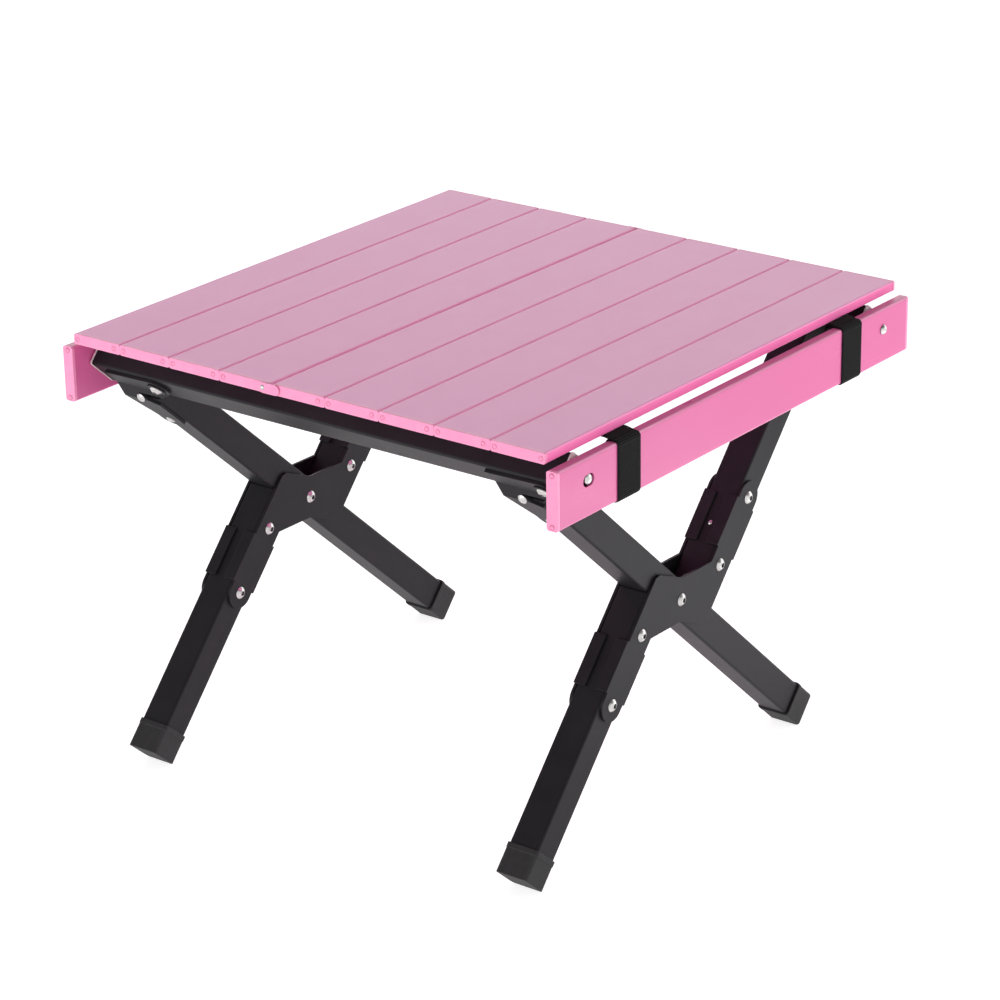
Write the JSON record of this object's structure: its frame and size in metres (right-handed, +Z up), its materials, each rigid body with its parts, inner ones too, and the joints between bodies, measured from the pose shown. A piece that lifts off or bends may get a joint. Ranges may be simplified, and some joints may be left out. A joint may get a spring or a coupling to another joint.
{
  "type": "folding side table",
  "caption": "Low folding camping side table with a roll-up slatted top, scissor legs, cross beams and side rails that lock the frame open.",
  "frame": {"origin": "floor level at the centre of the footprint", "axes": "+X across the slats towards the strapped side rail, +Y along the slats towards the rear beam, +Z up"},
  "size_m": [0.455, 0.45, 0.3456],
  "materials": {
    "slat_pink": "satin anodised pink",
    "cap_pink": "satin",
    "rail_pink": "satin painted pink",
    "frame_black": "satin black powder coat",
    "steel": "bright plated",
    "plug_pale": "translucent white",
    "boot_black": "moulded matte",
    "webbing": "ribbed woven webbing"
  },
  "bodies": {
    "front_frame": {"front_beam": "frame_black", "front_beam_plugs": "plug_pale", "leg_long_left": "frame_black", "leg_long_right": "frame_black", "gussets": "frame_black", "gusset_rivets": "steel", "gusset_bolts": "steel", "gusset_washers": "frame_black", "foot_rear_left": "boot_black", "foot_rear_right": "boot_black"},
    "rear_frame": {"rear_beam": "frame_black", "rear_beam_plugs": "plug_pale", "leg_lower_left": "frame_black", "leg_lower_right": "frame_black", "leg_upper_left": "frame_black", "leg_upper_right": "frame_black", "leg_upper_plugs": "boot_black", "bracket_left_outer": "frame_black", "bracket_left_inner": "frame_black", "bracket_right_outer": "frame_black", "bracket_right_inner": "frame_black", "scissor_bolts": "steel", "bracket_bolts": "steel", "bracket_rivets": "steel", "rear_angles": "frame_black", "rear_angle_bolts": "steel", "foot_front_left": "boot_black", "foot_front_right": "boot_black", "rail_pivot_bolts": "steel"},
    "left_rail": {"rail_left": "rail_pink", "rail_left_caps": "cap_pink", "rail_left_screws": "cap_pink", "rail_left_hook_bolt": "steel"},
    "right_rail": {"rail_right": "rail_pink", "rail_right_caps": "cap_pink", "rail_right_screws": "cap_pink", "rail_right_hook_bolt": "steel", "strap_front": "webbing", "strap_rear": "webbing"},
    "top_slat_1": {"slat_1": "slat_pink", "slat_1_caps": "cap_pink"},
    "top_slat_2": {"slat_2": "slat_pink", "slat_2_caps": "cap_pink"},
    "top_slat_3": {"slat_3": "slat_pink", "slat_3_caps": "cap_pink"},
    "top_slat_4": {"slat_4": "slat_pink", "slat_4_caps": "cap_pink", "groove_links": "cap_pink", "link_screws": "steel"},
    "top_slat_5": {"slat_5": "slat_pink", "slat_5_caps": "cap_pink"},
    "top_slat_6": {"slat_6": "slat_pink", "slat_6_caps": "cap_pink"},
    "top_slat_7": {"slat_7": "slat_pink", "slat_7_caps": "cap_pink"},
    "top_slat_8": {"slat_8": "slat_pink", "slat_8_caps": "cap_pink"},
    "top_slat_9": {"slat_9": "slat_pink", "slat_9_caps": "cap_pink", "strap_tabs": "webbing"}
  },
  "joints": [
    {"name": "scissor", "type": "hinge", "parent": "front_frame", "child": "rear_frame", "pos_m": [0, -0.0268, 0.1654], "axis": [1, 0, 0], "range_deg": [0, 88]},
    {"name": "left_rail_swing", "type": "hinge", "parent": "rear_frame", "child": "left_rail", "pos_m": [0, 0.18833, 0.31862], "axis": [1, 0, 0], "range_deg": [0, 49]},
    {"name": "right_rail_swing", "type": "hinge", "parent": "rear_frame", "child": "right_rail", "pos_m": [0, 0.18833, 0.31862], "axis": [1, 0, 0], "range_deg": [0, 49]},
    {"name": "top_lift", "type": "slide", "parent": "front_frame", "child": "top_slat_9", "axis": [0, 0, 1], "range_m": [0, 0.405]},
    {"name": "roll_8", "type": "hinge", "parent": "top_slat_9", "child": "top_slat_8", "pos_m": [0.168, 0, 0.3456], "axis": [0, 1, 0], "range_deg": [0, 38]},
    {"name": "roll_7", "type": "hinge", "parent": "top_slat_8", "child": "top_slat_7", "pos_m": [0.12, 0, 0.3456], "axis": [0, 1, 0], "range_deg": [0, 38]},
    {"name": "roll_6", "type": "hinge", "parent": "top_slat_7", "child": "top_slat_6", "pos_m": [0.072, 0, 0.3456], "axis": [0, 1, 0], "range_deg": [0, 38]},
    {"name": "roll_5", "type": "hinge", "parent": "top_slat_6", "child": "top_slat_5", "pos_m": [0.024, 0, 0.3456], "axis": [0, 1, 0], "range_deg": [0, 38]},
    {"name": "roll_4", "type": "hinge", "parent": "top_slat_5", "child": "top_slat_4", "pos_m": [-0.02445, 0, 0.3456], "axis": [0, 1, 0], "range_deg": [0, 38]},
    {"name": "roll_3", "type": "hinge", "parent": "top_slat_4", "child": "top_slat_3", "pos_m": [-0.0729, 0, 0.3456], "axis": [0, 1, 0], "range_deg": [0, 38]},
    {"name": "roll_2", "type": "hinge", "parent": "top_slat_3", "child": "top_slat_2", "pos_m": [-0.1209, 0, 0.3456], "axis": [0, 1, 0], "range_deg": [0, 38]},
    {"name": "roll_1", "type": "hinge", "parent": "top_slat_2", "child": "top_slat_1", "pos_m": [-0.1689, 0, 0.3456], "axis": [0, 1, 0], "range_deg": [0, 38]}
  ],
  "couplings": [
    {"joint": "left_rail_swing", "follows": "scissor", "ratio": 0.54545},
    {"joint": "right_rail_swing", "follows": "scissor", "ratio": 0.54545},
    {"joint": "top_lift", "follows": "scissor", "m_per_rad": 0.26},
    {"joint": "roll_7", "follows": "roll_8", "ratio": 1},
    {"joint": "roll_6", "follows": "roll_8", "ratio": 1},
    {"joint": "roll_5", "follows": "roll_8", "ratio": 1},
    {"joint": "roll_4", "follows": "roll_8", "ratio": 1},
    {"joint": "roll_3", "follows": "roll_8", "ratio": 1},
    {"joint": "roll_2", "follows": "roll_8", "ratio": 1},
    {"joint": "roll_1", "follows": "roll_8", "ratio": 1}
  ]
}
